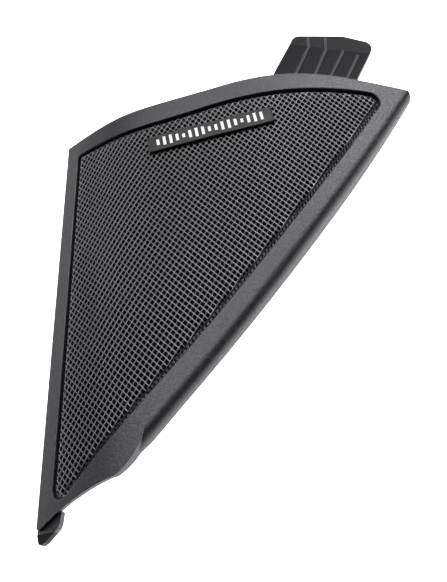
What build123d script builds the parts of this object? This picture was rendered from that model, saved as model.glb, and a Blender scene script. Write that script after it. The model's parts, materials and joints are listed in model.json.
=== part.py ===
"""Door-corner tweeter: a crowned triangular cover with its grille, carrier, tweeter and filter.

Frame: +Z points out of the grille towards the listener, +Y runs from the narrow tip towards the
wide end with the tongue, and +X points across the wide end. The origin is the shoulder of the
locating pin, in the plane of the door skin. Lengths are in millimetres.
"""

from build123d import *
import os
from math import cos, radians, sin

os.makedirs("parts", exist_ok=True)

# ---------------------------------------------------------------- driving dimensions

# Crown: the face is a cylinder along Y whose section is this curve of (x, z).
crown_left = ((-34, 5.9), (-28, 9.2), (-18, 14.0), (-6, 18.0))
crown_right = ((6, 18.9), (24, 18.1), (48, 16.4), (66, 13.4), (94, 6.3))
crown = crown_left + crown_right
skirt = ((-34, 1.5), (-18, 9.2), (6, 13.9), (28, 12.9), (48, 10.8), (66, 8.0), (94, 4.4))
face_far_y = 120.0
face_length = 180.0

# Plan shapes are extruded from low_z into blocks taller than the whole object, then cut to the crown.
low_z = -30.0
tall = 60.0

# Cover outline, counter-clockwise from the wide end's left corner.
left_top = (-28.4, 80.0)
left_tip = (-27.9, -49.2)
tip_hollow_middle = (-15.6, -42.2)
tip_end = (-2.7, -37.4)
bend_middle = (0.2, -34.7)
diagonal_start = (2.7, -31.2)
diagonal_middle = (46.0, 20.4)
right_top = (88.0, 82.4)
top_bend_end = (71.2, 87.0)
top_bend_middle = (50.0, 90.9)
top_bend_start = (27.0, 88.9)
top_hollow_middle = (-3.0, 83.2)
wall = 2.2
roll_radius = 3.0
side_reach = 1.5
edge_radius = 0.7
right_corner_radius = 2.0
left_corner_radius = 1.2
tip_corner_radius = 1.0

# Narrow tip: thin plate edge, cut from this section of (x, z), and the hook beyond it.
tip_edge_depth = 1.5
relief_near_y = 26.0
relief_section = ((-40, -20), (10, -20), (10, 12.6), (-4, 16.9), (-40, 16.9))
hook_right = ((-19.6, -44.2), (-19.9, -47.2), (-20.6, -48.6), (-24.6, -51.6))
hook_left = ((-27.0, -52.4), (-27.9, -49.6), (-27.8, -47.4))
hook_corner_radius = 1.2
hook_drop = 1.2
hook_thickness = 2.4

# Tongue: its own plane touches the crown's slope, with x along the top edge and y away from the cover.
tongue_plane = Plane(origin=(60.6, 88.4, 10.6), x_dir=(0.962, -0.196, -0.190), z_dir=(0.188, -0.034, 0.982))
tongue_slope = ((-4.5, 0.0), (3.0, -1.0), (18.5, -4.2), (30.0, -4.2))
tongue_bend = 5.0
tongue_thickness = 2.0
tongue_rib_width = 1.0
tongue_rib_raise = 0.5
tongue_rib_lines = (
    ((-10.6, -0.9), (-7.6, 17.0), (-8.4, 22.0)),
    ((-4.5, -0.9), (-1.7, 17.0), (-2.6, 22.6)),
    ((0.5, -0.9), (4.0, 16.4), (4.1, 18.0)),
    ((5.8, -0.9), (9.2, 15.4), (9.3, 16.4)),
)
tongue_outline = ((-18.0, -2.6), (-16.9, 4.0), (-13.4, 22.1), (3.1, 24.6), (14.2, 23.0), (8.8, -1.3))
tongue_corner_radius = 3.0
tongue_reach = 22.0

# Grille opening in the cover.
opening_left_top = (-23.5, 74.0)
opening_tip = (-22.9, -45.4)
opening_diagonal = (30.2, 12.4)
opening_right_top = (79.4, 80.2)
opening_bend_middle = (50.0, 84.0)
opening_bend_start = (22.0, 80.6)
opening_hollow_middle = (0.0, 76.0)
opening_tip_radius = 3.0
opening_right_radius = 4.0
opening_left_radius = 2.0
opening_lip_radius = 0.4

# Grille mesh and the cloth behind it.
mesh_drop = 0.1
mesh_gap = 0.9
mesh_thickness = 0.6
mesh_roll = 1.0
mesh_flange_depth = 2.1
cloth_thickness = 0.4
cloth_inset = 2.2

# Badge: a bent plate with a row of plain bars, held by two pins.
badge_centre = (23.6, 70.4)
badge_angle = 9.8
badge_length = 40.4
badge_width = 6.2
badge_height = 1.0
badge_bevel = 0.35
badge_bars = 17
badge_bar_pitch = 2.1
badge_bar_width = 0.9
badge_bar_raise = 0.15
badge_bar_shortest = 1.3
badge_bar_swing = 2.2
badge_pin_spacing = 30.0
badge_pin_radius = 0.75
badge_pin_length = 1.7
push_nut_radius = 2.0
push_nut_thickness = 0.4

# Carrier: inner moulding behind the mesh, held by melted posts of the cover.
carrier_clearance = 3.3
carrier_thickness = 2.0
carrier_drop = wall + 0.05
carrier_rear_drop = carrier_drop + carrier_thickness
fixing_root = 0.5
stake_radius = 1.0
stake_head_radius = 1.8
stake_head_height = 0.8
stake_top_places = (0.2, 0.6, 0.98)
stake_diagonal_places = (0.22, 0.45, 0.68)
stake_offset = 1.9

# Tweeter: heights above the door plane, radii from its own axis.
tweeter_x = 12.0
tweeter_y = 44.0
tweeter_centre = (tweeter_x, tweeter_y)
sound_radius = 21.0
seat_outer_radius = 27.0
seat_z = 10.0
gasket_thickness = 0.8
gasket_margin = 0.6
flange_top_z = seat_z - gasket_thickness
flange_thickness = 2.2
flange_radius = 26.0
flange_z = flange_top_z - flange_thickness
flare_radius = 20.0
flare_root_z = flange_top_z - 0.5
flare_z = 12.8
flare_wall = 1.1
flare_inner_middle = (16.4, 11.4)
flare_outer_middle = (17.6, 11.2)
yoke_top_z = 4.0
yoke_height = 8.0
yoke_radius = 16.0
yoke_bore_radius = 13.1
yoke_floor = 2.4
plate_radius = 12.0
plate_thickness = 2.0
magnet_radius = 11.5
ring_bore_radius = 15.0
ring_height = 3.4
dome_base_z = yoke_top_z + ring_height
dome_radius = 12.7
dome_height = 5.2
dome_skin = 0.3
former_bore_radius = 12.2
former_wall = 0.15
former_bottom_z = 1.6
coil_wall = 0.4
coil_height = 2.4
roll_section_radius = 1.0
roll_skin = 0.25
clamp_z = dome_base_z + roll_skin + 0.05
sleeve_bore_radius = yoke_radius + 0.05
sleeve_radius = 17.8
sleeve_bottom_z = -1.0
felt_radius = 9.0
felt_thickness = 1.4
chamber_radius = 20.5
chamber_wall = 1.5
chamber_bottom_z = -9.0
chamber_chamfer = 0.8
chamber_foam_radius = 15.0
ear_circle_radius = 31.0
ear_width = 8.0
ear_angles = (40, 160, 280)
ear_boss_radius = 3.4
screw_radius = 1.1
screw_head_radius = 2.1
screw_head_height = 1.4
screw_length = 4.4
recess_width = 0.5
recess_length = 2.4
recess_depth = 0.7

# Terminals on the chamber's side, and the leads from them to the filter board.
terminal_angle = 20.0
terminal_pad_radius = 21.5
terminal_pad_depth = 6.0
terminal_pad_width = 12.0
terminal_pad_height = 9.0
terminal_board_thickness = 1.2
terminal_z = 0.0
tag_spacing = 5.6
tag_width = 2.8
tag_thickness = 0.5
tag_foot_length = 5.0
tag_blade_y = -1.5
tag_length = 5.0
lead_radius = 0.45
lead_bend = 3.0

# Filter board on two posts; radial position counts from the tweeter axis along terminal_angle.
board_near = 34.0
board_far = 51.0
board_half_width = 8.0
board_thickness = 1.6
board_z = 5.0
board_screw_places = ((36.6, 6.0), (48.6, -6.3))
post_radius = 2.4
board_screw_radius = 0.9
board_screw_head_radius = 1.7
board_screw_head_height = 1.1
capacitor_place = (40.5, -1.2)
capacitor_size = (5.0, 12.0, 8.5)
socket_place = (47.2, 0.6)
socket_size = (6.6, 8.8, 8.0)
socket_wall = 1.0
socket_floor = 1.5
latch_notch_width = 2.4
latch_notch_depth = 2.0
socket_pin_size = 0.64
socket_pin_pitch = 2.5
socket_pin_inset = 1.5

# Fixings into the door: one round pin and three clip towers, placed (x, y, angle).
pin_radius = 2.5
pin_length = 8.0
pin_chamfer = 0.8
boss_radius = 4.5
boss_rib_length = 3.2
boss_rib_width = 1.4
tower_places = ((-15.0, 68.5, 6.0), (66.0, 71.0, -8.0), (-14.5, -24.0, 90.0))
tower_width = 9.0
tower_depth = 6.0
tower_rib = 1.6
blade_thickness = 2.4
blade_width = 7.0
blade_end_z = -6.6
clip_sheet = 0.5
clip_half = ((1.5, -0.5), (1.5, -1.4), (3.2, -3.6), (1.5, -6.9), (1.1, -7.7))


# ---------------------------------------------------------------- shared shapes


def layer(upper, upper_drop, lower, lower_drop):
    """Solid between two long section curves, each lowered by its own drop."""
    with BuildPart() as slab:
        with BuildSketch(Plane.XZ.offset(-face_far_y)):
            with BuildLine():
                top = Spline(*[(x, z - upper_drop) for x, z in upper])
                bottom = Spline(*[(x, z - lower_drop) for x, z in lower])
                Line(top @ 0, bottom @ 0)
                Line(top @ 1, bottom @ 1)
            make_face()
        extrude(amount=face_length)
    return slab.part


def crown_layer(top_drop, bottom_drop):
    """Layer that follows the crown, between two drops below it."""
    return layer(crown, top_drop, crown, bottom_drop)


def outline_plan(runs_out=False):
    """Plan outline of the cover. If it runs out, its bend goes on straight past the tip to the left side."""
    with BuildSketch() as plan:
        with BuildLine():
            bend = ThreePointArc(tip_end, bend_middle, diagonal_start)
            far_tip = left_tip
            if runs_out:
                side_end = Vector(left_top) + side_reach * (Vector(left_tip) - left_top)
                side = Line(left_top, side_end, mode=Mode.PRIVATE)
                far_tip = IntersectingLine(tip_end, bend % 0 * -1, side, mode=Mode.PRIVATE) @ 1
            Line(left_top, far_tip)
            if runs_out:
                Line(far_tip, tip_end)
            else:
                ThreePointArc(far_tip, tip_hollow_middle, tip_end)
            ThreePointArc(diagonal_start, diagonal_middle, right_top)
            Line(right_top, top_bend_end)
            ThreePointArc(top_bend_end, top_bend_middle, top_bend_start)
            ThreePointArc(top_bend_start, top_hollow_middle, left_top)
        make_face()
    return plan.sketch


def opening_plan():
    """Plan outline of the grille opening, with rounded corners."""
    with BuildSketch() as plan:
        with BuildLine():
            Line(opening_left_top, opening_tip)
            ThreePointArc(opening_tip, opening_diagonal, opening_right_top)
            ThreePointArc(opening_right_top, opening_bend_middle, opening_bend_start)
            ThreePointArc(opening_bend_start, opening_hollow_middle, opening_left_top)
        make_face()
        fillet(plan.vertices().sort_by(Axis.Y)[0], radius=opening_tip_radius)
        fillet(plan.vertices().group_by(Axis.X)[-1], radius=opening_right_radius)
        fillet(plan.vertices().group_by(Axis.X)[0].sort_by(Axis.Y)[-1], radius=opening_left_radius)
    return plan.sketch


def tall_block(plan):
    """Block of a plan shape, taller than the whole object."""
    with BuildPart() as block:
        with BuildSketch(Plane.XY.offset(low_z)):
            add(plan)
        extrude(amount=tall)
    return block.part


def crowned_plate(plan, inset, top_drop, bottom_drop):
    """Plate of a plan shape, drawn in by inset, between two drops below the crown."""
    with BuildPart() as plate:
        with BuildSketch(Plane.XY.offset(low_z)):
            add(plan)
            if inset:
                offset(amount=-inset)
        extrude(amount=tall)
        add(crown_layer(top_drop, bottom_drop), mode=Mode.INTERSECT)
    return plate.part


cover_plan = outline_plan()
grille_plan = opening_plan()

# ---------------------------------------------------------------- cover


def tongue_strip(rise):
    """Bent strip that the tongue is cut from, lifted by rise."""
    section_plane = Plane(origin=tongue_plane.origin, x_dir=tongue_plane.y_dir, z_dir=tongue_plane.x_dir)
    with BuildPart() as strip:
        with BuildSketch(section_plane):
            with BuildLine():
                FilletPolyline(*[(y, z + rise) for y, z in tongue_slope], radius=tongue_bend)
            trace(line_width=tongue_thickness)
        extrude(amount=tongue_reach, both=True)
    return strip.part


with BuildPart() as tongue:
    with BuildSketch(tongue_plane.offset(-tall / 4)) as tongue_face:
        Polygon(*tongue_outline, align=None)
        fillet(tongue_face.vertices().sort_by(Axis.Y)[-3:], radius=tongue_corner_radius)
    extrude(amount=tall / 2)
    add(tongue_strip(0), mode=Mode.INTERSECT)

with BuildPart() as tongue_ribs:
    with BuildSketch(tongue_plane.offset(-tall / 4)):
        for start, bend, end in tongue_rib_lines:
            with BuildLine(mode=Mode.PRIVATE) as rib_line:
                Polyline(start, bend, end)
            trace(rib_line.line, line_width=tongue_rib_width)
    extrude(amount=tall / 2)
    add(tongue_strip(tongue_rib_raise), mode=Mode.INTERSECT)

with BuildPart() as tip_hook:
    with BuildSketch(Plane.XY.offset(low_z)) as hook_plan:
        Polygon(*hook_right, *hook_left, align=None)
        fillet(hook_plan.vertices().sort_by(Axis.Y)[:2], radius=hook_corner_radius)
    extrude(amount=tall)
    add(crown_layer(hook_drop, hook_drop + hook_thickness), mode=Mode.INTERSECT)

with BuildPart() as full_block:
    with BuildSketch(Plane.XY.offset(low_z)):
        add(outline_plan(runs_out=True))
    extrude(amount=tall)
    add(layer(crown, 0, skirt, 0), mode=Mode.INTERSECT)

with BuildSketch() as rounded_plan:
    add(cover_plan)
    fillet(rounded_plan.vertices().sort_by(Axis.X)[-1], radius=right_corner_radius)
    fillet(rounded_plan.vertices().group_by(Axis.X)[0].sort_by(Axis.Y)[-1], radius=left_corner_radius)
    fillet(rounded_plan.vertices().sort_by(Axis.Y)[0], radius=tip_corner_radius)

with BuildPart() as cavity:
    with BuildSketch(Plane.XY.offset(low_z)):
        add(cover_plan)
        offset(amount=-wall)
    extrude(amount=tall)
    add(crown_layer(wall, tall), mode=Mode.INTERSECT)

# Near the narrow tip the skirt runs out and leaves a thin plate edge.
with BuildPart() as tip_relief:
    with BuildSketch(Plane.XZ.offset(relief_near_y)):
        Polygon(*relief_section, align=None)
    extrude(amount=tall)
    add(crown_layer(tip_edge_depth, tall), mode=Mode.INTERSECT)


def stake_places():
    """Plan points of the melted posts, just outside the grille opening."""
    top = ThreePointArc(opening_right_top, opening_bend_middle, opening_bend_start)
    diagonal = ThreePointArc(opening_tip, opening_diagonal, opening_right_top)
    places = []
    for edge, fractions in ((top, stake_top_places), (diagonal, stake_diagonal_places)):
        for fraction in fractions:
            outward = edge.tangent_at(fraction).rotate(Axis.Z, -90)
            place = edge.position_at(fraction) + outward * stake_offset
            places.append((place.X, place.Y))
    return places


stakes = stake_places()


def stake_shafts(radius, top_drop, bottom_drop):
    """Round posts at the stake places, between two drops below the crown."""
    with BuildPart() as shafts:
        with BuildSketch(Plane.XY.offset(low_z)):
            with Locations(*stakes):
                Circle(radius)
        extrude(amount=tall)
        add(crown_layer(top_drop, bottom_drop), mode=Mode.INTERSECT)
    return shafts.part


with BuildPart() as cover:
    add(full_block.part)
    # Long edge rolled over, the roll running straight off past the tip; then the other edges eased.
    fillet(cover.faces().sort_by(Axis.Z)[-1].edges().sort_by(SortBy.LENGTH)[-1], radius=roll_radius)
    crown_face = cover.faces().sort_by(Axis.Z)[-1]
    fillet(crown_face.edges().filter_by(lambda edge: edge.center().Y > 75), radius=edge_radius)
    add(tall_block(cover_plan), mode=Mode.INTERSECT)
    fillet(cover.faces().sort_by(Axis.Z)[-1].edges().sort_by(Axis.X)[0], radius=edge_radius)
    # Grille opening with its lip.
    add(tall_block(grille_plan), mode=Mode.SUBTRACT)
    pierced_faces = cover.faces().filter_by(lambda face: len(face.inner_wires()) > 0)
    fillet(pierced_faces.sort_by(Axis.Z)[-1].inner_wires()[0].edges(), radius=opening_lip_radius)
    add(tall_block(rounded_plan.sketch), mode=Mode.INTERSECT)
    add(cavity.part, mode=Mode.SUBTRACT)
    add(tip_relief.part, mode=Mode.SUBTRACT)
    add(tongue.part)
    add(tongue_ribs.part)
    add(tip_hook.part)
    add(stake_shafts(stake_radius, wall - 0.2, carrier_rear_drop + 0.1))
    add(stake_shafts(stake_head_radius, carrier_rear_drop, carrier_rear_drop + stake_head_height))
cover.part.label = "cover"
export_step(cover.part, "parts/cover.step")

# ---------------------------------------------------------------- grille, cloth and badge


def inset_grille(inset):
    """Plan of the grille opening drawn in by inset."""
    with BuildSketch() as plan:
        add(grille_plan)
        offset(amount=-inset)
    return plan.sketch


def badge_plan(length, width):
    """Rounded rectangle on the badge's place."""
    with BuildSketch() as plan:
        with Locations(Location(badge_centre, badge_angle)):
            RectangleRounded(length, width, 0.5)
    return plan.sketch


def badge_pin_plan(radius, bore=0.0):
    """Circles, or rings, around the badge's two pins."""
    with BuildSketch() as plan:
        with Locations(Location(badge_centre, badge_angle)):
            with GridLocations(badge_pin_spacing, 0, 2, 1):
                Circle(radius)
                if bore:
                    Circle(bore, mode=Mode.SUBTRACT)
    return plan.sketch


with BuildPart() as grille_mesh:
    add(crowned_plate(inset_grille(mesh_gap), 0, mesh_drop, mesh_flange_depth))
    fillet(grille_mesh.faces().sort_by(Axis.Z)[-1].edges(), radius=mesh_roll)
    inner_plan = inset_grille(mesh_gap + mesh_thickness)
    add(crowned_plate(inner_plan, 0, mesh_drop + mesh_thickness, mesh_flange_depth + 1), mode=Mode.SUBTRACT)
    add(crowned_plate(badge_pin_plan(badge_pin_radius), 0, -1, 2), mode=Mode.SUBTRACT)
grille_mesh.part.label = "grille_mesh"
export_step(grille_mesh.part, "parts/grille_mesh.step")

with BuildPart() as acoustic_cloth:
    add(crowned_plate(inset_grille(cloth_inset), 0, carrier_drop - cloth_thickness, carrier_drop))
acoustic_cloth.part.label = "acoustic_cloth"
export_step(acoustic_cloth.part, "parts/acoustic_cloth.step")

with BuildPart() as badge_plate:
    add(crowned_plate(badge_plan(badge_length, badge_width), 0, -badge_height, mesh_drop))
    chamfer(badge_plate.faces().sort_by(Axis.Z)[-1].edges(), length=badge_bevel)
    add(crowned_plate(badge_pin_plan(badge_pin_radius), 0, 0, badge_pin_length))
badge_plate.part.label = "badge_plate"
export_step(badge_plate.part, "parts/badge_plate.step")

with BuildPart() as badge_push_nuts:
    underside = mesh_drop + mesh_thickness
    nut_plan = badge_pin_plan(push_nut_radius, badge_pin_radius)
    add(crowned_plate(nut_plan, 0, underside, underside + push_nut_thickness))
badge_push_nuts.part.label = "badge_push_nuts"
export_step(badge_push_nuts.part, "parts/badge_push_nuts.step")

with BuildPart() as badge_marks:
    with BuildSketch(Plane.XY.offset(low_z)):
        for bar in range(badge_bars):
            along = (bar - (badge_bars - 1) / 2) * badge_bar_pitch
            bar_height = badge_bar_shortest + badge_bar_swing * abs(sin(radians(40 * bar + 25)))
            with Locations(Location(badge_centre, badge_angle)):
                with Locations((along, 0)):
                    Rectangle(badge_bar_width, bar_height)
    extrude(amount=tall)
    add(crown_layer(-badge_height - badge_bar_raise, -badge_height), mode=Mode.INTERSECT)
badge_marks.part.label = "badge_marks"
export_step(badge_marks.part, "parts/badge_marks.step")

# ---------------------------------------------------------------- carrier

ear_places = [
    (tweeter_x + ear_circle_radius * cos(radians(a)), tweeter_y + ear_circle_radius * sin(radians(a)))
    for a in ear_angles
]


def radial_place(along, across):
    """Plan point at a distance along and across the terminal direction, from the tweeter's axis."""
    angle = radians(terminal_angle)
    x = tweeter_x + along * cos(angle) - across * sin(angle)
    y = tweeter_y + along * sin(angle) + across * cos(angle)
    return (x, y)


board_screw_points = [radial_place(*place) for place in board_screw_places]

with BuildPart() as carrier_fixings:
    # Seat ring around the sound opening.
    with BuildSketch(Plane.XY.offset(seat_z)):
        with Locations(tweeter_centre):
            Circle(seat_outer_radius)
    extrude(amount=tall)
    # Bosses over the tweeter's three ears.
    with BuildSketch(Plane.XY.offset(flange_top_z)):
        with Locations(*ear_places):
            Circle(ear_boss_radius)
    extrude(amount=tall)
    # Posts for the filter board.
    with BuildSketch(Plane.XY.offset(board_z + board_thickness)):
        with Locations(*board_screw_points):
            Circle(post_radius)
    extrude(amount=tall)
    # Locating boss with four ribs.
    with BuildSketch(Plane.XY):
        Circle(boss_radius)
        with PolarLocations(0, 4):
            with Locations((boss_radius, 0)):
                Rectangle(2 * boss_rib_length, boss_rib_width)
    extrude(amount=tall)
    # Clip towers: an I-shaped column whose web goes on as the clip's blade.
    with BuildSketch(Plane.XY):
        for x, y, angle in tower_places:
            with Locations(Location((x, y), angle)):
                Rectangle(tower_width, blade_thickness)
                with GridLocations(tower_width - tower_rib, 0, 2, 1):
                    Rectangle(tower_rib, tower_depth)
    extrude(amount=tall)
    add(crown_layer(carrier_drop + fixing_root, tall), mode=Mode.INTERSECT)
    with BuildSketch(Plane.XY.offset(blade_end_z)):
        for x, y, angle in tower_places:
            with Locations(Location((x, y), angle)):
                Rectangle(blade_width, blade_thickness)
    extrude(amount=-blade_end_z)
    with BuildSketch(Plane.XY.offset(-pin_length)):
        Circle(pin_radius)
    extrude(amount=pin_length)
    chamfer(carrier_fixings.faces().sort_by(Axis.Z)[0].edges(), length=pin_chamfer)

with BuildPart() as carrier:
    add(crowned_plate(cover_plan, carrier_clearance, carrier_drop, carrier_rear_drop))
    add(carrier_fixings.part)
    with BuildSketch(Plane.XY.offset(low_z)):
        with Locations(tweeter_centre):
            Circle(sound_radius)
    extrude(amount=tall, mode=Mode.SUBTRACT)
    with BuildSketch(Plane.XY.offset(flange_top_z)):
        with Locations(*ear_places):
            Circle(screw_radius)
    extrude(amount=screw_length - flange_thickness, mode=Mode.SUBTRACT)
    with BuildSketch(Plane.XY.offset(board_z + board_thickness)):
        with Locations(*board_screw_points):
            Circle(board_screw_radius)
    extrude(amount=screw_length - board_thickness, mode=Mode.SUBTRACT)
    add(stake_shafts(stake_radius, 0, tall), mode=Mode.SUBTRACT)
carrier.part.label = "carrier"
export_step(carrier.part, "parts/carrier.step")

with BuildPart() as spring_clips:
    for x, y, angle in tower_places:
        along = (-sin(radians(angle)), cos(radians(angle)), 0)
        sideways = (cos(radians(angle)), sin(radians(angle)), 0)
        section_plane = Plane(origin=(x, y, 0), x_dir=along, z_dir=sideways)
        with BuildSketch(section_plane.offset(-blade_width / 2)):
            with BuildLine():
                Polyline(*clip_half, *[(-across, z) for across, z in reversed(clip_half)])
            trace(line_width=clip_sheet)
        extrude(amount=blade_width)
spring_clips.part.label = "spring_clips"
export_step(spring_clips.part, "parts/spring_clips.step")

with BuildPart() as foam_gasket:
    with BuildSketch(Plane.XY.offset(flange_top_z)):
        with Locations(tweeter_centre):
            Circle(flange_radius - gasket_margin)
            Circle(sound_radius + gasket_margin, mode=Mode.SUBTRACT)
    extrude(amount=gasket_thickness)
foam_gasket.part.label = "foam_gasket"
export_step(foam_gasket.part, "parts/foam_gasket.step")

# ---------------------------------------------------------------- tweeter

tweeter_section = Plane(origin=(tweeter_x, tweeter_y, 0), x_dir=(1, 0, 0), z_dir=(0, -1, 0))
tweeter_axis = Axis((tweeter_x, tweeter_y, 0), (0, 0, 1))


def ring(bore, radius, bottom_z, height):
    """Round disc or ring on the tweeter's axis."""
    with BuildPart() as body:
        with BuildSketch(Plane.XY.offset(bottom_z)):
            with Locations(tweeter_centre):
                Circle(radius)
                if bore:
                    Circle(bore, mode=Mode.SUBTRACT)
        extrude(amount=height)
    return body.part


def ears(width, start_radius, end_radius):
    """Plan of the three round-ended ears."""
    with BuildSketch() as plan:
        for angle in ear_angles:
            with Locations(Location(tweeter_centre, angle)):
                with Locations(((start_radius + end_radius) / 2, 0)):
                    SlotOverall(end_radius - start_radius + width / 2, width)
    return plan.sketch


with BuildPart() as tweeter_frame:
    add(ring(sleeve_bore_radius, flange_radius, flange_z, flange_thickness))
    add(ring(sleeve_bore_radius, sleeve_radius, sleeve_bottom_z, flange_z - sleeve_bottom_z))
    add(ring(ring_bore_radius, flange_radius, clamp_z, flange_top_z - clamp_z))
    with BuildSketch(Plane.XY.offset(flange_z)):
        add(ears(ear_width, flange_radius - 4, ear_circle_radius))
        with Locations(tweeter_centre):
            Circle(flange_radius - 1, mode=Mode.SUBTRACT)
        with Locations(*ear_places):
            Circle(screw_radius, mode=Mode.SUBTRACT)
    extrude(amount=flange_thickness)
    with BuildSketch(tweeter_section):
        with BuildLine():
            mouth = (flare_radius - flare_wall, flare_z)
            inner = ThreePointArc((ring_bore_radius, flare_root_z), flare_inner_middle, mouth)
            lip = Line(inner @ 1, (flare_radius, flare_z - 0.4))
            outer = ThreePointArc(lip @ 1, flare_outer_middle, (flare_inner_middle[0], flare_root_z))
            Line(outer @ 1, inner @ 0)
        make_face()
    revolve(axis=tweeter_axis)
tweeter_frame.part.label = "tweeter_frame"
export_step(tweeter_frame.part, "parts/tweeter_frame.step")

with BuildPart() as yoke_cup:
    add(ring(0, yoke_radius, yoke_top_z - yoke_height, yoke_height))
    add(ring(0, yoke_bore_radius, yoke_top_z - yoke_height + yoke_floor, yoke_height), mode=Mode.SUBTRACT)
    chamfer(yoke_cup.faces().sort_by(Axis.Z)[0].edges(), length=0.6)
yoke_cup.part.label = "yoke_cup"
export_step(yoke_cup.part, "parts/yoke_cup.step")

magnet_bottom_z = yoke_top_z - yoke_height + yoke_floor
magnet_height = yoke_height - yoke_floor - plate_thickness

with BuildPart() as magnet:
    add(ring(0, magnet_radius, magnet_bottom_z, magnet_height))
magnet.part.label = "magnet"
export_step(magnet.part, "parts/magnet.step")

with BuildPart() as pole_plate:
    add(ring(0, plate_radius, yoke_top_z - plate_thickness, plate_thickness))
pole_plate.part.label = "pole_plate"
export_step(pole_plate.part, "parts/pole_plate.step")

with BuildPart() as damping_felt:
    add(ring(0, felt_radius, yoke_top_z, felt_thickness))
damping_felt.part.label = "damping_felt"
export_step(damping_felt.part, "parts/damping_felt.step")

with BuildPart() as suspension_ring:
    add(ring(ring_bore_radius, yoke_radius, yoke_top_z, ring_height))
suspension_ring.part.label = "suspension_ring"
export_step(suspension_ring.part, "parts/suspension_ring.step")

sphere_radius = (dome_radius**2 + dome_height**2) / (2 * dome_height)
sphere_centre_z = dome_base_z + dome_height - sphere_radius

with BuildPart() as dome:
    with BuildSketch(tweeter_section):
        with Locations((0, sphere_centre_z)):
            Circle(sphere_radius)
            Circle(sphere_radius - dome_skin, mode=Mode.SUBTRACT)
        with Locations((dome_radius / 2, dome_base_z + dome_height / 2)):
            Rectangle(dome_radius, dome_height, mode=Mode.INTERSECT)
    revolve(axis=tweeter_axis)
dome.part.label = "dome"
export_step(dome.part, "parts/dome.step")

with BuildPart() as coil_former:
    former_length = dome_base_z - 0.1 - former_bottom_z
    add(ring(former_bore_radius, former_bore_radius + former_wall, former_bottom_z, former_length))
coil_former.part.label = "coil_former"
export_step(coil_former.part, "parts/coil_former.step")

with BuildPart() as voice_coil:
    coil_bore = former_bore_radius + former_wall
    add(ring(coil_bore, coil_bore + coil_wall, former_bottom_z + 0.2, coil_height))
voice_coil.part.label = "voice_coil"
export_step(voice_coil.part, "parts/voice_coil.step")

roll_centre_radius = dome_radius + 0.1 + roll_section_radius
rim_near = roll_centre_radius + roll_section_radius - roll_skin

with BuildPart() as surround:
    with BuildSketch(tweeter_section):
        with Locations((roll_centre_radius, dome_base_z)):
            Circle(roll_section_radius)
            Circle(roll_section_radius - roll_skin, mode=Mode.SUBTRACT)
        with Locations((roll_centre_radius, dome_base_z + roll_section_radius / 2)):
            Rectangle(2 * roll_section_radius, roll_section_radius, mode=Mode.INTERSECT)
        with Locations(((rim_near + yoke_radius) / 2, dome_base_z + roll_skin / 2)):
            Rectangle(yoke_radius - rim_near, roll_skin)
    revolve(axis=tweeter_axis)
surround.part.label = "surround"
export_step(surround.part, "parts/surround.step")

terminal_plane = Plane(
    origin=(tweeter_x, tweeter_y, terminal_z),
    x_dir=(-sin(radians(terminal_angle)), cos(radians(terminal_angle)), 0),
    z_dir=(cos(radians(terminal_angle)), sin(radians(terminal_angle)), 0),
)

with BuildPart() as rear_chamber:
    add(ring(0, chamber_radius, chamber_bottom_z, flange_z - chamber_bottom_z))
    with BuildSketch(terminal_plane.offset(terminal_pad_radius - terminal_pad_depth)):
        Rectangle(terminal_pad_width, terminal_pad_height)
    extrude(amount=terminal_pad_depth)
    add(ring(0, chamber_radius - chamber_wall, chamber_bottom_z + chamber_wall, tall), mode=Mode.SUBTRACT)
    chamfer(rear_chamber.faces().sort_by(Axis.Z)[0].edges(), length=chamber_chamfer)
rear_chamber.part.label = "rear_chamber"
export_step(rear_chamber.part, "parts/rear_chamber.step")

with BuildPart() as chamber_foam:
    foam_bottom_z = chamber_bottom_z + chamber_wall
    add(ring(0, chamber_foam_radius, foam_bottom_z, yoke_top_z - yoke_height - foam_bottom_z))
chamber_foam.part.label = "chamber_foam"
export_step(chamber_foam.part, "parts/chamber_foam.step")

with BuildPart() as tweeter_screws:
    with BuildSketch(Plane.XY.offset(flange_z)):
        with Locations(*ear_places):
            Circle(screw_radius)
    extrude(amount=screw_length)
    with BuildSketch(Plane.XY.offset(flange_z - screw_head_height)):
        with Locations(*ear_places):
            Circle(screw_head_radius)
    extrude(amount=screw_head_height)
    fillet(tweeter_screws.faces().group_by(Axis.Z)[0].edges(), radius=0.6)
    with BuildSketch(Plane.XY.offset(flange_z - screw_head_height)):
        with Locations(*ear_places):
            Rectangle(recess_width, recess_length)
            Rectangle(recess_length, recess_width)
    extrude(amount=recess_depth, mode=Mode.SUBTRACT)
tweeter_screws.part.label = "tweeter_screws"
export_step(tweeter_screws.part, "parts/tweeter_screws.step")

# ---------------------------------------------------------------- terminals, leads and filter

with BuildPart() as terminal_board:
    with BuildSketch(terminal_plane.offset(terminal_pad_radius)):
        RectangleRounded(terminal_pad_width - 0.6, terminal_pad_height - 0.6, 0.8)
    extrude(amount=terminal_board_thickness)
terminal_board.part.label = "terminal_board"
export_step(terminal_board.part, "parts/terminal_board.step")

tag_foot_radius = terminal_pad_radius + terminal_board_thickness

with BuildPart() as terminal_tags:
    with BuildSketch(terminal_plane.offset(tag_foot_radius)):
        with GridLocations(tag_spacing, 0, 2, 1):
            Rectangle(tag_width, tag_foot_length)
    extrude(amount=tag_thickness)
    with BuildSketch(terminal_plane.offset(tag_foot_radius)):
        with Locations((0, tag_blade_y)):
            with GridLocations(tag_spacing, 0, 2, 1):
                Rectangle(tag_width, tag_thickness)
    extrude(amount=tag_length)
terminal_tags.part.label = "terminal_tags"
export_step(terminal_tags.part, "parts/terminal_tags.step")

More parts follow.
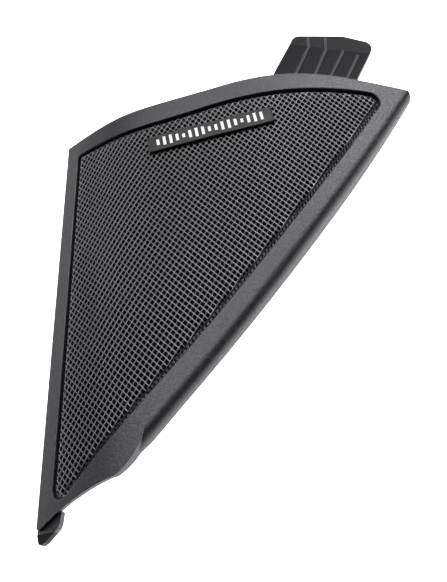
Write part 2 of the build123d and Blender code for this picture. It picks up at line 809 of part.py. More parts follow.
tag_top_z = terminal_z + tag_blade_y + tag_thickness / 2
lead_start = tag_foot_radius + tag_length - 2.0
lead_tag_z = tag_top_z + lead_radius
lead_board_z = board_z - lead_radius - 0.02
lead_route = (
    (lead_start, lead_tag_z),
    (lead_start + 4.0, lead_tag_z),
    (board_near - 1.0, lead_board_z - 0.6),
    (board_near + 2.4, lead_board_z),
)


def lead(side):
    """Short insulated lead from a tag to the filter board's edge."""
    across = side * tag_spacing / 2
    points = [(*radial_place(along, across), z) for along, z in lead_route]
    with BuildPart() as tube:
        with BuildLine():
            route = FilletPolyline(*points, radius=lead_bend)
        with BuildSketch(Plane(origin=route @ 0, z_dir=route % 0)):
            Circle(lead_radius)
        sweep(path=route)
    return tube.part


with BuildPart() as lead_positive:
    add(lead(1))
lead_positive.part.label = "lead_positive"
export_step(lead_positive.part, "parts/lead_positive.step")

with BuildPart() as lead_negative:
    add(lead(-1))
lead_negative.part.label = "lead_negative"
export_step(lead_negative.part, "parts/lead_negative.step")

board_plane = Plane(
    origin=(tweeter_x, tweeter_y, board_z),
    x_dir=(cos(radians(terminal_angle)), sin(radians(terminal_angle)), 0),
    z_dir=(0, 0, 1),
)

with BuildPart() as filter_board:
    with BuildSketch(board_plane):
        with Locations(((board_near + board_far) / 2, 0)):
            RectangleRounded(board_far - board_near, 2 * board_half_width, 1.0)
        with Locations(*board_screw_places):
            Circle(board_screw_radius, mode=Mode.SUBTRACT)
    extrude(amount=board_thickness)
filter_board.part.label = "filter_board"
export_step(filter_board.part, "parts/filter_board.step")

with BuildPart() as filter_capacitor:
    with BuildSketch(board_plane):
        with Locations(capacitor_place):
            Rectangle(capacitor_size[0], capacitor_size[1])
    extrude(amount=-capacitor_size[2])
    fillet(filter_capacitor.faces().sort_by(Axis.Z)[0].edges(), radius=0.6)
filter_capacitor.part.label = "filter_capacitor"
export_step(filter_capacitor.part, "parts/filter_capacitor.step")

with BuildPart() as connector_socket:
    with BuildSketch(board_plane):
        with Locations(socket_place):
            RectangleRounded(socket_size[0], socket_size[1], 0.5)
    extrude(amount=-socket_size[2])
    with BuildSketch(board_plane.offset(-socket_floor)):
        with Locations(socket_place):
            Rectangle(socket_size[0] - 2 * socket_wall, socket_size[1] - 2 * socket_wall)
    extrude(amount=-socket_size[2], mode=Mode.SUBTRACT)
    with BuildSketch(board_plane.offset(latch_notch_depth - socket_size[2])):
        with Locations((socket_place[0] + socket_size[0] / 2, socket_place[1])):
            Rectangle(3 * socket_wall, latch_notch_width)
    extrude(amount=-2 * latch_notch_depth, mode=Mode.SUBTRACT)
    with BuildSketch(board_plane):
        with Locations(socket_place):
            with GridLocations(0, socket_pin_pitch, 1, 2):
                Rectangle(socket_pin_size, socket_pin_size)
    extrude(amount=-socket_floor, mode=Mode.SUBTRACT)
connector_socket.part.label = "connector_socket"
export_step(connector_socket.part, "parts/connector_socket.step")

with BuildPart() as connector_pins:
    with BuildSketch(board_plane):
        with Locations(socket_place):
            with GridLocations(0, socket_pin_pitch, 1, 2):
                Rectangle(socket_pin_size, socket_pin_size)
    extrude(amount=socket_pin_inset - socket_size[2])
    chamfer(connector_pins.faces().group_by(Axis.Z)[0].edges(), length=0.15)
connector_pins.part.label = "connector_pins"
export_step(connector_pins.part, "parts/connector_pins.step")

with BuildPart() as board_screws:
    with BuildSketch(board_plane):
        with Locations(*board_screw_places):
            Circle(board_screw_radius)
    extrude(amount=screw_length)
    with BuildSketch(board_plane):
        with Locations(*board_screw_places):
            Circle(board_screw_head_radius)
    extrude(amount=-board_screw_head_height)
    fillet(board_screws.faces().group_by(Axis.Z)[0].edges(), radius=0.5)
board_screws.part.label = "board_screws"
export_step(board_screws.part, "parts/board_screws.step")
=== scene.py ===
"""Looks of the door-corner tweeter: perforated grille, grained plastics, badge, cloth, metals and studio.

Lengths are in metres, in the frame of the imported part: +Z out of the grille, +Y towards the tongue.
Values that are multiplied by MM are in millimetres.
"""

import json
import math

import bmesh
import bpy
import numpy as np
from mathutils import Matrix, Vector


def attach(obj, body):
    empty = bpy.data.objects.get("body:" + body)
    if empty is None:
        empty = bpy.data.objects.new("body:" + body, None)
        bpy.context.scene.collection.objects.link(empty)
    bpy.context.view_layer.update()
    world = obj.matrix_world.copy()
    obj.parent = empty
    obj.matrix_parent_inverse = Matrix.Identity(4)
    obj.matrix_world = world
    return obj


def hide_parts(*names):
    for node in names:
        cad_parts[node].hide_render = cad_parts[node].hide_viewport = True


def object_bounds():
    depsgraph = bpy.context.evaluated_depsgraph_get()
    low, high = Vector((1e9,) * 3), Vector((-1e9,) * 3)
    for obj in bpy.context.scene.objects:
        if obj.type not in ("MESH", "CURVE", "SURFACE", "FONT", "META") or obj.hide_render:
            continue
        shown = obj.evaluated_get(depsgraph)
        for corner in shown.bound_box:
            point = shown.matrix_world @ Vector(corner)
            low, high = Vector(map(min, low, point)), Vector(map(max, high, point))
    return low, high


MM = 0.001

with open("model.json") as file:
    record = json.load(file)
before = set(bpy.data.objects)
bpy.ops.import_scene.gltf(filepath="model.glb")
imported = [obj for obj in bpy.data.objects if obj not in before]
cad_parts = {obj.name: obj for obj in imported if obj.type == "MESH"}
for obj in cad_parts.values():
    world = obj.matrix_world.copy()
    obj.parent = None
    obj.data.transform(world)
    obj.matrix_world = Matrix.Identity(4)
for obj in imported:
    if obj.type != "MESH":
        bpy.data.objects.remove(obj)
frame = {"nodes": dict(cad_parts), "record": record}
cad_low, cad_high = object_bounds()
nodes = frame["nodes"]
scene = bpy.context.scene


# ---------------------------------------------------------------- materials

# Ungrained parts of the cover: the tongue past the bowed wide edge, and the tip hook.
WIDE_EDGE_MIDDLE = 50.0
WIDE_EDGE_BOW_END = 71.2
WIDE_EDGE_TOP = 91.0
BOW_PER_METRE = 8.8
HOOK_EDGE = -49.2
MASK_BLUR = 0.2
BARE_ROUGHNESS = 0.34
BARE_SPECULAR = 0.05
BARE_TINT = 0.35

# The tongue's own plane, the lengths and falls of its two sloping stretches, and its ribs' tops.
TONGUE_ORIGIN = Vector((60.6, 88.4, 10.6)) * MM
TONGUE_ACROSS = Vector((0.962, -0.196, -0.190)).normalized()
TONGUE_UP = Vector((0.188, -0.034, 0.982)).normalized()
TONGUE_STRETCHES = ((-4.5, 3.0, 1.0), (3.0, 18.5, 3.2))
RIB_TOP = (1.12, 1.40)
# Lighter colour painted on the tongue's rib tops: a painted highlight, not a colour of the plastic.
RIB_PAINTED_HIGHLIGHT = (0.048, 0.048, 0.054)
COOL_SHEEN = (0.93, 0.94, 1.0, 1.0)

shaders = {}


class Shader:
    """Small helper that builds a node material around one Principled shader."""

    def __init__(self, name, color, roughness, metallic=0.0, specular=0.5):
        self.material = bpy.data.materials.new(name)
        self.material.use_nodes = True
        self.tree = self.material.node_tree
        self.shader = self.tree.nodes["Principled BSDF"]
        self.shader.inputs["Base Color"].default_value = (*color, 1.0)
        self.shader.inputs["Roughness"].default_value = roughness
        self.shader.inputs["Metallic"].default_value = metallic
        self.shader.inputs["Specular IOR Level"].default_value = specular
        self.place = self.node("ShaderNodeTexCoord").outputs["Object"]
        self.height = None
        shaders[name] = self

    def node(self, kind, **settings):
        made = self.tree.nodes.new(kind)
        for key, value in settings.items():
            setattr(made, key, value)
        return made

    def link(self, source, target):
        self.tree.links.new(source, target)

    def noise(self, size, detail=2.0, rough=0.5, stretch=None):
        """Noise whose blobs are about size metres across."""
        made = self.node("ShaderNodeTexNoise")
        made.inputs["Scale"].default_value = 0.5 / size
        made.inputs["Detail"].default_value = detail
        made.inputs["Roughness"].default_value = rough
        place = self.place
        if stretch:
            mapping = self.node("ShaderNodeMapping")
            mapping.inputs["Scale"].default_value = stretch
            self.link(place, mapping.inputs["Vector"])
            place = mapping.outputs["Vector"]
        self.link(place, made.inputs["Vector"])
        return made.outputs["Fac"]

    def cells(self, size):
        """Voronoi cells about size metres across."""
        made = self.node("ShaderNodeTexVoronoi")
        made.inputs["Scale"].default_value = 1.0 / size
        self.link(self.place, made.inputs["Vector"])
        return made.outputs["Distance"]

    def spread(self, value, low, high, target_low=0.0, target_high=1.0):
        """Value mapped from low..high to target_low..target_high, held inside."""
        made = self.node("ShaderNodeMapRange")
        made.inputs["From Min"].default_value = low
        made.inputs["From Max"].default_value = high
        made.inputs["To Min"].default_value = target_low
        made.inputs["To Max"].default_value = target_high
        self.link(value, made.inputs["Value"])
        return made.outputs["Result"]

    def tint(self, value, dark, light):
        """Base colour that runs from dark to light with value."""
        mix = self.node("ShaderNodeMix", data_type="RGBA")
        mix.inputs["A"].default_value = (*dark, 1.0)
        mix.inputs["B"].default_value = (*light, 1.0)
        self.link(value, mix.inputs["Factor"])
        self.link(mix.outputs["Result"], self.shader.inputs["Base Color"])

    def blend(self, share, value, other):
        """Value where share is 0, the plain number other where it is 1."""
        mix = self.node("ShaderNodeMix", data_type="FLOAT")
        mix.inputs["B"].default_value = other
        self.link(share, mix.inputs["Factor"])
        self.link(value, mix.inputs["A"])
        return mix.outputs["Result"]

    def math(self, operation, first, second):
        """One math node on an output and an output or a number."""
        made = self.node("ShaderNodeMath", operation=operation)
        self.link(first, made.inputs[0])
        if isinstance(second, float):
            made.inputs[1].default_value = second
        else:
            self.link(second, made.inputs[1])
        return made.outputs["Value"]

    def along(self, origin, direction):
        """Distance from an origin along a direction, in object coordinates."""
        dot = self.node("ShaderNodeVectorMath", operation="DOT_PRODUCT")
        dot.inputs[1].default_value = direction
        self.link(self.place, dot.inputs[0])
        return self.math("SUBTRACT", dot.outputs["Value"], origin.dot(direction))

    def paint_highlight(self, share, color):
        """Mixes another colour over the base colour where share is 1; used to paint a lighter highlight."""
        before = self.shader.inputs["Base Color"].links[0].from_socket
        mix = self.node("ShaderNodeMix", data_type="RGBA")
        mix.inputs["B"].default_value = (*color, 1.0)
        self.link(share, mix.inputs["Factor"])
        self.link(before, mix.inputs["A"])
        self.link(mix.outputs["Result"], self.shader.inputs["Base Color"])

    def rough(self, value, low, high):
        """Roughness that runs from low to high with value."""
        self.link(self.spread(value, 0.3, 0.7, low, high), self.shader.inputs["Roughness"])

    def bump(self, value, depth, strength=1.0):
        """Adds a bump of a depth in metres on top of the ones before it."""
        made = self.node("ShaderNodeBump")
        made.inputs["Distance"].default_value = depth
        made.inputs["Strength"].default_value = strength
        self.link(value, made.inputs["Height"])
        if self.height is not None:
            self.link(self.height, made.inputs["Normal"])
        self.height = made.outputs["Normal"]
        self.link(self.height, self.shader.inputs["Normal"])


def ungrained(made):
    """1 on the tongue, past the bowed wide edge, and on the tip hook; 0 on the grained face."""
    split = made.node("ShaderNodeSeparateXYZ")
    made.link(made.place, split.inputs["Vector"])
    half_bow = (WIDE_EDGE_BOW_END - WIDE_EDGE_MIDDLE) * MM
    bow = made.spread(split.outputs["X"], WIDE_EDGE_MIDDLE * MM, WIDE_EDGE_BOW_END * MM, 0.0, half_bow)
    drop = made.math("MULTIPLY", made.math("MULTIPLY", bow, bow), BOW_PER_METRE)
    reach = made.math("ADD", drop, split.outputs["Y"])
    tongue = made.spread(reach, WIDE_EDGE_TOP * MM, (WIDE_EDGE_TOP + MASK_BLUR) * MM)
    hook = made.spread(split.outputs["Y"], HOOK_EDGE * MM, (HOOK_EDGE - MASK_BLUR) * MM)
    return made.math("MAXIMUM", tongue, hook)


def tongue_ribs(made, tongue):
    """1 on the tops of the tongue's ribs, which stand above its bent surface; a highlight is painted there.
    """
    rise = made.along(TONGUE_ORIGIN, TONGUE_UP)
    out = made.along(TONGUE_ORIGIN, TONGUE_UP.cross(TONGUE_ACROSS))
    for start, end, fall in TONGUE_STRETCHES:
        rise = made.math("ADD", rise, made.spread(out, start * MM, end * MM, 0.0, fall * MM))
    low, high = RIB_TOP
    return made.math("MULTIPLY", made.spread(rise, low * MM, high * MM), tongue)


def grained_plastic(name, color, light, roughness, grain, depth, specular=0.5, bare=None):
    """Moulded plastic with a spark-eroded grain: fine pits, slow colour drift and speckled sheen."""
    made = Shader(name, color, roughness, specular=specular)
    grains = made.noise(grain, detail=3.0, rough=0.6)
    sheen = made.spread(made.noise(0.6 * grain), 0.3, 0.7, roughness - 0.10, roughness + 0.10)
    if bare:
        share = bare(made)
        grains = made.blend(share, grains, BARE_TINT)
        sheen = made.blend(share, sheen, BARE_ROUGHNESS)
        shine = made.spread(share, 0.0, 1.0, specular, BARE_SPECULAR)
        made.link(shine, made.shader.inputs["Specular IOR Level"])
    made.tint(made.spread(grains, 0.35, 0.70), color, light)
    if bare:
        # The tongue's rib tops get a lighter colour: a painted highlight.
        made.paint_highlight(tongue_ribs(made, share), RIB_PAINTED_HIGHLIGHT)
    made.link(sheen, made.shader.inputs["Roughness"])
    made.shader.inputs["Specular Tint"].default_value = COOL_SHEEN
    made.bump(made.noise(30 * grain), 0.02 * MM, 0.4)
    made.bump(grains, depth)
    return made


def moulded_plastic(name, color, light, roughness):
    """Plain moulded plastic: faint flow marks and a slightly uneven gloss."""
    made = Shader(name, color, roughness)
    made.tint(made.spread(made.noise(4 * MM), 0.3, 0.7), color, light)
    made.rough(made.noise(1.2 * MM), roughness - 0.08, roughness + 0.08)
    made.bump(made.noise(0.25 * MM), 0.008 * MM, 0.6)
    return made


def metal(name, color, roughness, stretch=(1, 1, 1), scratch=0.3 * MM, depth=0.004 * MM):
    """Plated or turned metal with fine marks along one direction."""
    made = Shader(name, color, roughness, metallic=1.0)
    marks = made.noise(scratch, detail=4.0, rough=0.7, stretch=stretch)
    darker = tuple(0.8 * c for c in color)
    made.tint(made.spread(made.noise(3 * MM), 0.3, 0.7), darker, color)
    made.rough(marks, roughness - 0.08, roughness + 0.10)
    made.bump(marks, depth)
    return made


def woven(name, color, light, pitch, roughness=0.9, depth=0.06 * MM):
    """Woven or pressed cloth: crossing threads from two sets of waves, with fuzz."""
    made = Shader(name, color, roughness, specular=0.2)
    made.shader.inputs["Sheen Weight"].default_value = 0.25
    made.shader.inputs["Sheen Roughness"].default_value = 0.5
    threads = []
    for direction in ("X", "Y"):
        wave = made.node("ShaderNodeTexWave", wave_type="BANDS", bands_direction=direction)
        wave.inputs["Scale"].default_value = 0.314 / pitch
        wave.inputs["Distortion"].default_value = 0.6
        made.link(made.place, wave.inputs["Vector"])
        threads.append(wave.outputs["Fac"])
    weave = made.math("MULTIPLY", *threads)
    made.tint(weave, color, light)
    made.bump(weave, depth)
    made.bump(made.noise(0.5 * pitch), 0.5 * depth)
    return made


def foam(name, color, light):
    """Open-cell foam: rounded pits of mixed size."""
    made = Shader(name, color, 0.95, specular=0.15)
    pits = made.cells(0.6 * MM)
    made.tint(pits, color, light)
    made.bump(pits, 0.25 * MM)
    made.bump(made.noise(0.2 * MM), 0.05 * MM)
    return made


def wire_insulation(name, color):
    """Thin soft insulation with a faint waxy shine."""
    made = Shader(name, color, 0.38)
    darker = tuple(0.75 * c for c in color)
    made.tint(made.spread(made.noise(1.5 * MM), 0.3, 0.7), darker, color)
    made.bump(made.noise(0.3 * MM), 0.01 * MM)
    return made


def laminate(name, color, light, roughness):
    """Fibre-filled board: cross-laid strands under a thin coat."""
    made = Shader(name, color, roughness)
    strands = made.noise(0.5 * MM, detail=3.0, stretch=(1, 6, 1))
    made.tint(made.spread(strands, 0.3, 0.7), color, light)
    made.bump(strands, 0.012 * MM)
    return made


grained_plastic(
    "cover_plastic", (0.008, 0.008, 0.009), (0.020, 0.020, 0.023), 0.44, 0.40 * MM, 0.09 * MM, bare=ungrained
)
grained_plastic(
    "mesh_paint", (0.034, 0.034, 0.036), (0.060, 0.060, 0.064), 0.32, 0.12 * MM, 0.008 * MM, specular=0.9
)
cloth_black = woven("cloth_black", (0.002, 0.002, 0.003), (0.008, 0.008, 0.009), 0.5 * MM)
cloth_black.shader.inputs["Sheen Weight"].default_value = 0.0
cloth_black.shader.inputs["Specular IOR Level"].default_value = 0.04
badge_black = moulded_plastic("badge_black", (0.006, 0.006, 0.007), (0.010, 0.010, 0.011), 0.30)
badge_black.shader.inputs["Specular IOR Level"].default_value = 0.2
moulded_plastic("badge_white", (0.62, 0.62, 0.61), (0.72, 0.72, 0.71), 0.38)
moulded_plastic("carrier_plastic", (0.008, 0.008, 0.009), (0.014, 0.014, 0.016), 0.6)
moulded_plastic("frame_plastic", (0.018, 0.018, 0.020), (0.030, 0.030, 0.033), 0.5)
moulded_plastic("chamber_plastic", (0.020, 0.020, 0.022), (0.034, 0.034, 0.037), 0.46)
metal("spring_steel", (0.50, 0.51, 0.53), 0.30, stretch=(6, 1, 1))
metal("screw_steel", (0.36, 0.36, 0.37), 0.34)
metal("motor_steel", (0.56, 0.56, 0.57), 0.32, stretch=(1, 1, 8))
metal("magnet_nickel", (0.66, 0.64, 0.60), 0.18)
woven("dome_fabric", (0.010, 0.010, 0.011), (0.030, 0.030, 0.033), 0.35 * MM, roughness=0.6)
woven("surround_fabric", (0.014, 0.014, 0.015), (0.036, 0.036, 0.040), 0.4 * MM, roughness=0.7)
moulded_plastic("ring_plastic", (0.03, 0.03, 0.03), (0.05, 0.05, 0.05), 0.5)
metal("former_foil", (0.80, 0.81, 0.82), 0.25)
metal("coil_copper", (0.76, 0.36, 0.16), 0.30, stretch=(0.1, 0.1, 12), depth=0.03 * MM)
foam("foam_dark", (0.020, 0.020, 0.022), (0.050, 0.050, 0.055))
woven("felt_grey", (0.16, 0.16, 0.17), (0.28, 0.28, 0.29), 0.25 * MM)
laminate("fibre_board", (0.16, 0.085, 0.035), (0.24, 0.14, 0.06), 0.5)
metal("tag_brass", (0.74, 0.58, 0.30), 0.28)
wire_insulation("lead_red", (0.42, 0.02, 0.02))
wire_insulation("lead_black", (0.015, 0.015, 0.016))
laminate("board_green", (0.012, 0.10, 0.040), (0.020, 0.14, 0.055), 0.3)
moulded_plastic("capacitor_box", (0.42, 0.30, 0.045), (0.50, 0.37, 0.06), 0.32)
moulded_plastic("socket_plastic", (0.62, 0.60, 0.53), (0.72, 0.70, 0.63), 0.42)
metal("pin_tin", (0.78, 0.76, 0.70), 0.24)

for part in frame["record"]["subparts"]:
    mesh = nodes[part["node"]].data
    mesh.materials.clear()
    mesh.materials.append(shaders[part["material_slot"]].material)


# ---------------------------------------------------------------- grille

# This section works in millimetres until its points are done.
# Section of the grille's outer face: height z over x, the same as the cover's crown.
CROWN_LEFT = ((-34, 5.9), (-28, 9.2), (-18, 14.0), (-6, 18.0))
CROWN_RIGHT = ((6, 18.9), (24, 18.1), (48, 16.4), (66, 13.4), (94, 6.3))

# Grille opening of the cover, corner by corner, each side an arc through a middle point.
LEFT_TOP = (-23.5, 74.0)
TIP = (-22.9, -45.4)
RIGHT_TOP = (79.4, 80.2)
BEND_START = (22.0, 80.6)
SIDES = (
    (LEFT_TOP, (-23.2, 14.3), TIP),
    (TIP, (30.2, 12.4), RIGHT_TOP),
    (RIGHT_TOP, (50.0, 84.0), BEND_START),
    (BEND_START, (0.0, 76.0), LEFT_TOP),
)
CORNER_RADII = (3.0, 4.0, 0.0, 2.0)

# Sheet: sunk below the crown, standing off the opening, rolled down into it.
MESH_DROP = 0.1
MESH_GAP = 0.9
SHEET = 0.22
ROLL = 1.0
FLANGE = 1.9

# Holes: the lattice's two steps, then bar width and corner cut as shares of a step, then the bars' ridge.
HOLE_ALONG = np.array((0.774, 1.282))
HOLE_ACROSS = np.array((1.112, -1.095))
BAR_SHARE = 0.22
HOLE_ROUNDING = 0.12
BAR_RIDGE = 0.06

# Fineness: spacing along the outline and which of those points are kept, corner points, spare cells
# round the sheet, and the distances below which points weld and edges vanish.
OUTLINE_STEP = 0.05
OUTLINE_KEEP = 5
CORNER_POINTS = 16
CELL_MARGIN = 0.6
LATTICE_MARGIN = 3.0
WELD = 0.02
SLIVER = 0.01


def spline_through(points):
    """Natural cubic spline through the points, as a function of an array."""
    x, y = np.array(points, float).T
    step = np.diff(x)
    slope = np.diff(y) / step
    system = np.eye(len(x))
    right = np.zeros(len(x))
    for i in range(1, len(x) - 1):
        system[i, i - 1 : i + 2] = step[i - 1], 2 * (step[i - 1] + step[i]), step[i]
        right[i] = 6 * (slope[i] - slope[i - 1])
    bend = np.linalg.solve(system, right)

    def height(at):
        i = np.clip(np.searchsorted(x, at) - 1, 0, len(x) - 2)
        before, after = at - x[i], x[i + 1] - at
        cubic = (bend[i] * after**3 + bend[i + 1] * before**3) / (6 * step[i])
        start = (y[i] / step[i] - bend[i] * step[i] / 6) * after
        end = (y[i + 1] / step[i] - bend[i + 1] * step[i] / 6) * before
        return cubic + start + end

    return height


def arc_points(start, middle, end):
    """Points along the circle arc, or the straight line, through three points."""
    a, b, c = (np.array(p, float) for p in (start, middle, end))
    count = int(np.linalg.norm(c - a) / OUTLINE_STEP) + 2
    share = np.linspace(0, 1, count)[:, None]
    u, v = b - a, c - a
    cross = u[0] * v[1] - u[1] * v[0]
    if abs(cross) < 1e-6 * (v @ v):
        return a + share * v
    centre = a + np.array((v[1] * (u @ u) - u[1] * (v @ v), u[0] * (v @ v) - v[0] * (u @ u))) / (2 * cross)
    radius = np.linalg.norm(a - centre)
    first, last = (math.atan2(*(p - centre)[::-1]) for p in (a, c))
    sweep = (last - first + math.pi) % (2 * math.pi) - math.pi
    angles = first + share[:, 0] * sweep
    return centre + radius * np.column_stack((np.cos(angles), np.sin(angles)))


def inward(points):
    """Unit normals to the left of a run of points, which is inside for a counter-clockwise outline."""
    along = np.gradient(points, axis=0)
    along /= np.linalg.norm(along, axis=1)[:, None]
    return np.column_stack((-along[:, 1], along[:, 0]))


def crossing(first, second):
    """Where the end of one run of points comes nearest to the start of the next."""
    gaps = np.linalg.norm(first[:, None] - second[None], axis=2)
    i, j = np.unravel_index(gaps.argmin(), gaps.shape)
    return i, j, (first[i] + second[j]) / 2


def grille_outline():
    """Closed outline of the sheet: the opening with rounded corners, drawn in by the gap."""
    runs = [arc_points(*side) for side in SIDES]
    normals = [inward(run) for run in runs]
    starts, ends, arcs = [0] * len(runs), [None] * len(runs), []
    for k, radius in enumerate(CORNER_RADII):
        after = (k + 1) % len(runs)
        reach = radius or MESH_GAP
        i, j, centre_point = crossing(runs[k] + reach * normals[k], runs[after] + reach * normals[after])
        ends[k], starts[after] = i, j
        arcs.append((centre_point, -normals[k][i], -normals[after][j], radius - MESH_GAP))
    outline = []
    for k, run in enumerate(runs):
        outline.extend((run + MESH_GAP * normals[k])[starts[k] : ends[k] : OUTLINE_KEEP])
        centre_point, first, last, radius = arcs[k]
        if radius > 0:
            start = math.atan2(first[1], first[0])
            sweep = (math.atan2(last[1], last[0]) - start) % (2 * math.pi)
            for angle in start + sweep * np.linspace(0, 1, CORNER_POINTS)[1:-1]:
                outline.append(centre_point + radius * np.array((math.cos(angle), math.sin(angle))))
    return np.array(outline)


def signed_distance(points, outline):
    """Distance inside the outline, the nearest outline point and the outward normal there."""
    following = np.roll(outline, -1, axis=0)
    along = following - outline
    distance, foot, outward = [], [], []
    for chunk in np.array_split(points, max(1, len(points) // 2000)):
        rel = chunk[:, None] - outline[None]
        share = np.clip((rel * along).sum(2) / (along**2).sum(1), 0, 1)
        gap = rel - share[..., None] * along
        squared = (gap**2).sum(2)
        best = squared.argmin(1)
        row = np.arange(len(chunk))
        near = outline[best] + share[row, best][:, None] * along[best]
        normal = np.column_stack((along[best][:, 1], -along[best][:, 0]))
        normal /= np.linalg.norm(normal, axis=1)[:, None]
        side = ((chunk - near) * normal).sum(1)
        size = np.sqrt(squared[row, best])
        offset = (chunk - near) * np.sign(side)[:, None]
        clear = size > 1e-6
        normal[clear] = offset[clear] / size[clear][:, None]
        distance.append(np.where(side < 0, size, -size))
        foot.append(near)
        outward.append(normal)
    return np.concatenate(distance), np.concatenate(foot), np.concatenate(outward)


def fold_down(flat, outline, crown):
    """Points of the flat sheet after its rim is rolled down round the outline."""
    inside, foot, outward = signed_distance(flat, outline)
    past = np.clip(ROLL - inside, 0, ROLL * math.pi / 2 + FLANGE - ROLL)
    angle = np.minimum(past / ROLL, math.pi / 2)
    drop = ROLL * (1 - np.cos(angle)) + np.maximum(past - ROLL * math.pi / 2, 0)
    rolled = foot + outward * (ROLL * np.sin(angle) - ROLL)[:, None]
    plan = np.where((inside < ROLL)[:, None], rolled, flat)
    return np.column_stack((plan, crown(plan[:, 0]) - MESH_DROP - drop))


def perforated_sheet(outline, crown):
    """Mesh of square holes on a skewed lattice: each cell is a frame of eight faces round its hole."""
    low, high = outline.min(0) - LATTICE_MARGIN, outline.max(0) + LATTICE_MARGIN
    lattice = np.column_stack((HOLE_ALONG, HOLE_ACROSS))
    corners = np.array([(x, y) for x in (low[0], high[0]) for y in (low[1], high[1])])
    reach = np.linalg.solve(lattice, corners.T)
    first = np.floor(reach.min(1)).astype(int)
    last = np.ceil(reach.max(1)).astype(int)
    i, j = np.meshgrid(np.arange(first[0], last[0]), np.arange(first[1], last[1]), indexing="ij")
    cells = np.column_stack((i.ravel(), j.ravel())).astype(float)
    middles = (cells + 0.5) @ lattice.T
    beyond = ROLL * math.pi / 2 + FLANGE - 2 * ROLL
    inside, _, _ = signed_distance(middles, outline)
    cells = cells[inside > -beyond - CELL_MARGIN]

    edge = 0.5 - BAR_SHARE / 2
    round_off = edge - HOLE_ROUNDING
    hole = [(-round_off, -edge), (round_off, -edge), (edge, -round_off), (edge, round_off)]
    hole += [(round_off, edge), (-round_off, edge), (-edge, round_off), (-edge, -round_off)]
    frame_corners = [(-0.5, -0.5), (0.5, -0.5), (0.5, 0.5), (-0.5, 0.5)]
    cell_points = np.array(frame_corners + hole) + 0.5
    flat = ((cells[:, None] + cell_points[None]).reshape(-1, 2)) @ lattice.T
    placed = fold_down(flat, outline, crown)
    placed.reshape(-1, len(cell_points), 3)[:, len(frame_corners) :, 2] -= BAR_RIDGE

    bars = [(0, 1, 5, 4), (1, 2, 7, 6), (2, 3, 9, 8), (3, 0, 11, 10)]
    bars += [(1, 6, 5), (2, 8, 7), (3, 10, 9), (0, 4, 11)]
    faces = []
    for cell in range(len(cells)):
        base = cell * len(cell_points)
        faces.extend(tuple(base + v for v in bar) for bar in bars)
    return placed * MM, faces


def grille_piece():
    """Perforated sheet with its rolled rim, given its thickness."""
    points, faces = perforated_sheet(grille_outline(), spline_through(CROWN_LEFT + CROWN_RIGHT))
    mesh = bpy.data.meshes.new("grille")
    mesh.from_pydata([tuple(p) for p in points], [], faces)
    shape = bmesh.new()
    shape.from_mesh(mesh)
    bmesh.ops.remove_doubles(shape, verts=shape.verts, dist=WELD * MM)
    bmesh.ops.dissolve_degenerate(shape, edges=shape.edges, dist=SLIVER * MM)
    bmesh.ops.recalc_face_normals(shape, faces=shape.faces)
    if sum(face.normal.z * face.calc_area() for face in shape.faces) < 0:
        bmesh.ops.reverse_faces(shape, faces=shape.faces)
    shape.to_mesh(mesh)
    shape.free()
    piece = bpy.data.objects.new("grille", mesh)
    scene.collection.objects.link(piece)
    solid = piece.modifiers.new("sheet", "SOLIDIFY")
    solid.thickness = SHEET * MM
    solid.offset = -1.0
    mesh.materials.append(shaders["mesh_paint"].material)
    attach(piece, "panel")
    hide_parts("grille_mesh")


grille_piece()


# ---------------------------------------------------------------- studio

# The floor lies just under the part, reaches metres past it and glows faintly, so it shows as plain white.
FLOOR_GAP = 0.5
FLOOR_HALF = 3.0
FLOOR_WHITE = (0.90, 0.90, 0.90)
FLOOR_GLOW = 1.6
ROOM_GLOW = 0.02

# Each soft box: direction from the object, distance and size in metres, and radiance.
SOFT_BOXES = (
    ("overhead", (-0.14, 0.34, 0.92), 0.62, (0.48, 0.54), 4.8),
    ("left", (-0.85, 0.35, 0.42), 0.70, (0.50, 0.60), 0.8),
    ("right_back", (0.40, 0.68, 0.62), 0.70, (0.40, 0.36), 9.0),
)

CAMERA_PLACE = Vector((66.94, -92.50, 213.52)) * MM
CAMERA_RIGHT = Vector((0.97726, -0.01893, -0.21120))
CAMERA_UP = Vector((0.11496, 0.88424, 0.45266))
CAMERA_LENS = 49.48
CAMERA_SENSOR = 36.0
CAMERA_NEAR = 10 * MM


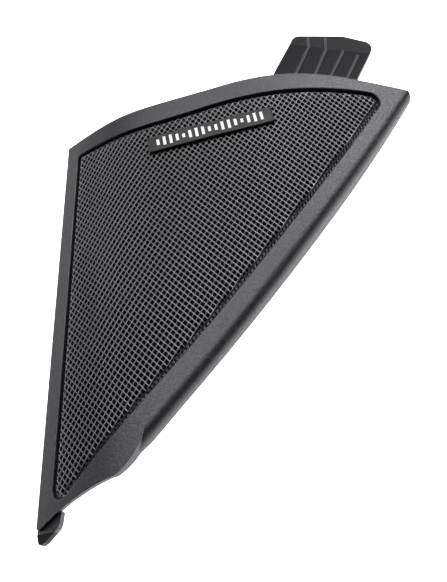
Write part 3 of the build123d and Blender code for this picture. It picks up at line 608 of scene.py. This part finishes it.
def area_light(name, place, target, size, power):
    """Soft box that faces a target."""
    data = bpy.data.lights.new(name, "AREA")
    data.shape = "RECTANGLE"
    data.size, data.size_y = size
    data.energy = power
    light = bpy.data.objects.new(name, data)
    scene.collection.objects.link(light)
    light.location = place
    light.rotation_mode = "QUATERNION"
    light.rotation_quaternion = (Vector(target) - Vector(place)).to_track_quat("-Z", "Y")


centre = (cad_low + cad_high) / 2

floor_mesh = bpy.data.meshes.new("floor")
floor_z = cad_low.z - FLOOR_GAP * MM
floor_mesh.from_pydata(
    [(x * FLOOR_HALF, y * FLOOR_HALF, floor_z) for x, y in ((-1, -1), (1, -1), (1, 1), (-1, 1))],
    [],
    [(0, 1, 2, 3)],
)
floor = bpy.data.objects.new("floor", floor_mesh)
scene.collection.objects.link(floor)
paper = Shader("floor_paper", FLOOR_WHITE, 0.9, specular=0.1)
paper.shader.inputs["Emission Color"].default_value = (1.0, 1.0, 1.0, 1.0)
paper.shader.inputs["Emission Strength"].default_value = FLOOR_GLOW
floor_mesh.materials.append(paper.material)

world = bpy.data.worlds.new("studio")
world.use_nodes = True
world.node_tree.nodes["Background"].inputs["Color"].default_value = (1.0, 1.0, 1.0, 1.0)
world.node_tree.nodes["Background"].inputs["Strength"].default_value = ROOM_GLOW
scene.world = world

for name, direction, distance, size, radiance in SOFT_BOXES:
    power = radiance * math.pi * size[0] * size[1]
    area_light(name, centre + Vector(direction).normalized() * distance, centre, size, power)

camera_data = bpy.data.cameras.new("camera")
camera_data.sensor_width = CAMERA_SENSOR
camera_data.lens = CAMERA_LENS
camera_data.clip_start = CAMERA_NEAR
camera = bpy.data.objects.new("camera", camera_data)
scene.collection.objects.link(camera)
back = CAMERA_RIGHT.cross(CAMERA_UP).normalized()
up = back.cross(CAMERA_RIGHT).normalized()
turn = Matrix((CAMERA_RIGHT.normalized(), up, back)).transposed()
camera.matrix_world = Matrix.Translation(CAMERA_PLACE) @ turn.to_4x4()
scene.camera = camera
scene.view_settings.view_transform = "Standard"
